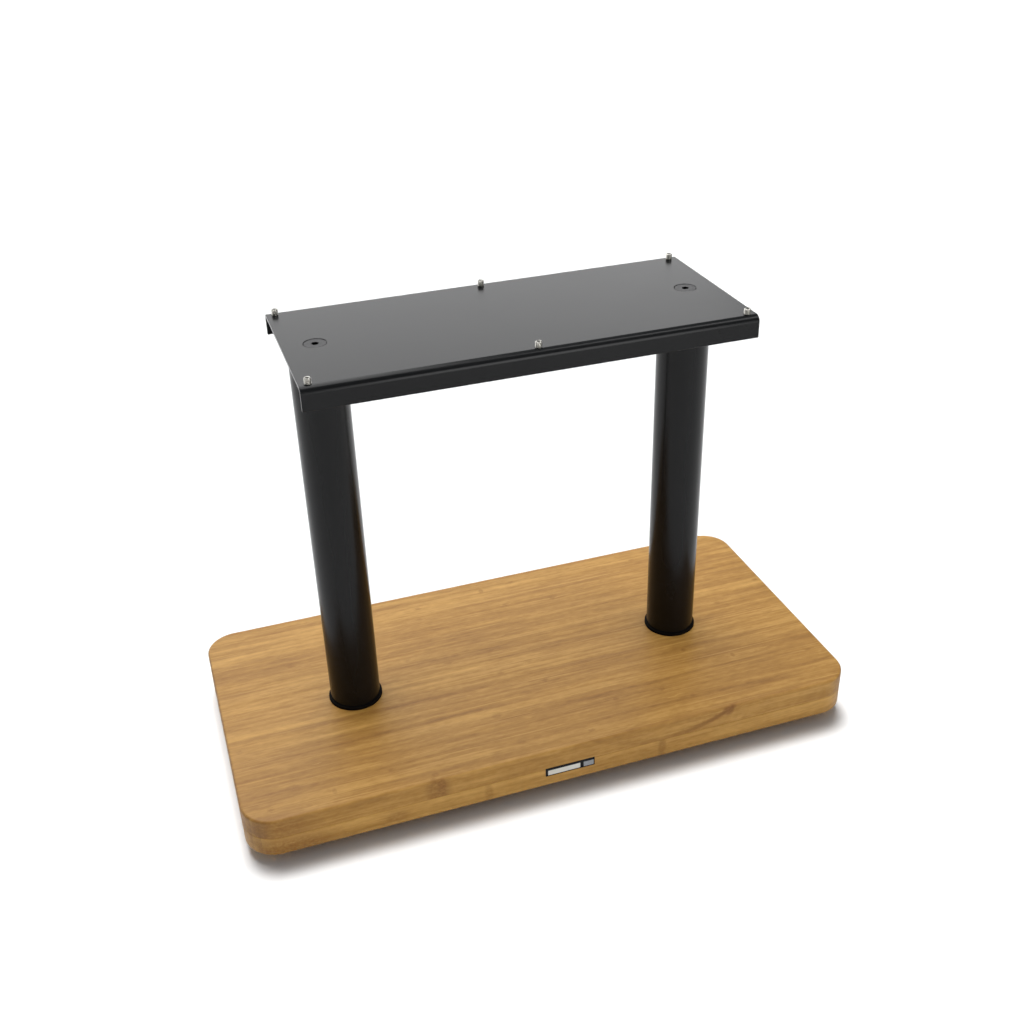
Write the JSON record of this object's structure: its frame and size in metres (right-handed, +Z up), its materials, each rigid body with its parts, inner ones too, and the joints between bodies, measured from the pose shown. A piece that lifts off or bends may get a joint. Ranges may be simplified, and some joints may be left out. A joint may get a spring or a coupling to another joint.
{
  "type": "speaker stand",
  "caption": "Low stand for a loudspeaker: rounded bamboo base, twin black steel pillars, folded steel top plate with height studs, levelling feet.",
  "frame": {"origin": "on the floor under the middle of the base, feet screwed in", "axes": "+X along the base's length, +Y to the back, +Z up; the badge faces -Y"},
  "size_m": [0.6, 0.295, 0.427],
  "materials": {
    "bamboo": "clear satin lacquer",
    "black_steel": "satin powder coat",
    "gasket_rubber": "matt",
    "plain_steel": "turned",
    "black_screw": "black oxide",
    "zinc_steel": "zinc plated",
    "stud_steel": "zinc plated",
    "black_nylon": "moulded",
    "sole_rubber": "matt",
    "badge_black": "black anodised",
    "badge_silver": "satin",
    "badge_grey": "satin"
  },
  "bodies": {
    "stand": {"base_board_upper": "bamboo", "base_board_lower": "bamboo", "badge_plate": "badge_black", "badge_field_long": "badge_silver", "badge_field_short": "badge_grey", "base_bolts": "zinc_steel", "base_bolt_washers": "zinc_steel", "pillar_tube_left": "black_steel", "pillar_tube_right": "black_steel", "pillar_gasket_left": "gasket_rubber", "pillar_gasket_right": "gasket_rubber", "bottom_plug_left": "plain_steel", "bottom_plug_right": "plain_steel", "top_plug_left": "plain_steel", "top_plug_right": "plain_steel", "top_plate": "black_steel", "top_plate_screws": "black_screw", "foot_inserts": "zinc_steel"},
    "pad_front_left": {"foot_pad_front_left": "black_nylon", "foot_sole_front_left": "sole_rubber"},
    "stem_front_left": {"foot_stem_front_left": "zinc_steel"},
    "pad_front_right": {"foot_pad_front_right": "black_nylon", "foot_sole_front_right": "sole_rubber"},
    "stem_front_right": {"foot_stem_front_right": "zinc_steel"},
    "pad_rear_left": {"foot_pad_rear_left": "black_nylon", "foot_sole_rear_left": "sole_rubber"},
    "stem_rear_left": {"foot_stem_rear_left": "zinc_steel"},
    "pad_rear_right": {"foot_pad_rear_right": "black_nylon", "foot_sole_rear_right": "sole_rubber"},
    "stem_rear_right": {"foot_stem_rear_right": "zinc_steel"},
    "stud_front_left": {"top_stud_front_left": "stud_steel"},
    "stud_front_middle": {"top_stud_front_middle": "stud_steel"},
    "stud_front_right": {"top_stud_front_right": "stud_steel"},
    "stud_rear_left": {"top_stud_rear_left": "stud_steel"},
    "stud_rear_middle": {"top_stud_rear_middle": "stud_steel"},
    "stud_rear_right": {"top_stud_rear_right": "stud_steel"}
  },
  "joints": [
    {"name": "foot_travel_front_left", "type": "slide", "parent": "stand", "child": "pad_front_left", "axis": [0, 0, -1], "range_m": [0, 0.008]},
    {"name": "foot_screw_front_left", "type": "hinge", "parent": "pad_front_left", "child": "stem_front_left", "pos_m": [-0.24, -0.0925, 0.011], "axis": [0, 0, -1], "range_deg": [0, 2304]},
    {"name": "foot_travel_front_right", "type": "slide", "parent": "stand", "child": "pad_front_right", "axis": [0, 0, -1], "range_m": [0, 0.008]},
    {"name": "foot_screw_front_right", "type": "hinge", "parent": "pad_front_right", "child": "stem_front_right", "pos_m": [0.24, -0.0925, 0.011], "axis": [0, 0, -1], "range_deg": [0, 2304]},
    {"name": "foot_travel_rear_left", "type": "slide", "parent": "stand", "child": "pad_rear_left", "axis": [0, 0, -1], "range_m": [0, 0.008]},
    {"name": "foot_screw_rear_left", "type": "hinge", "parent": "pad_rear_left", "child": "stem_rear_left", "pos_m": [-0.24, 0.0925, 0.011], "axis": [0, 0, -1], "range_deg": [0, 2304]},
    {"name": "foot_travel_rear_right", "type": "slide", "parent": "stand", "child": "pad_rear_right", "axis": [0, 0, -1], "range_m": [0, 0.008]},
    {"name": "foot_screw_rear_right", "type": "hinge", "parent": "pad_rear_right", "child": "stem_rear_right", "pos_m": [0.24, 0.0925, 0.011], "axis": [0, 0, -1], "range_deg": [0, 2304]},
    {"name": "stud_height_front_left", "type": "slide", "parent": "stand", "child": "stud_front_left", "axis": [0, 0, 1], "range_m": [-0.004, 0.002]},
    {"name": "stud_height_front_middle", "type": "slide", "parent": "stand", "child": "stud_front_middle", "axis": [0, 0, 1], "range_m": [-0.004, 0.002]},
    {"name": "stud_height_front_right", "type": "slide", "parent": "stand", "child": "stud_front_right", "axis": [0, 0, 1], "range_m": [-0.004, 0.002]},
    {"name": "stud_height_rear_left", "type": "slide", "parent": "stand", "child": "stud_rear_left", "axis": [0, 0, 1], "range_m": [-0.004, 0.002]},
    {"name": "stud_height_rear_middle", "type": "slide", "parent": "stand", "child": "stud_rear_middle", "axis": [0, 0, 1], "range_m": [-0.004, 0.002]},
    {"name": "stud_height_rear_right", "type": "slide", "parent": "stand", "child": "stud_rear_right", "axis": [0, 0, 1], "range_m": [-0.004, 0.002]}
  ],
  "couplings": [
    {"joint": "foot_travel_front_left", "follows": "foot_screw_front_left", "m_per_rad": 0.00019894},
    {"joint": "foot_travel_front_right", "follows": "foot_screw_front_right", "m_per_rad": 0.00019894},
    {"joint": "foot_travel_rear_left", "follows": "foot_screw_rear_left", "m_per_rad": 0.00019894},
    {"joint": "foot_travel_rear_right", "follows": "foot_screw_rear_right", "m_per_rad": 0.00019894}
  ]
}
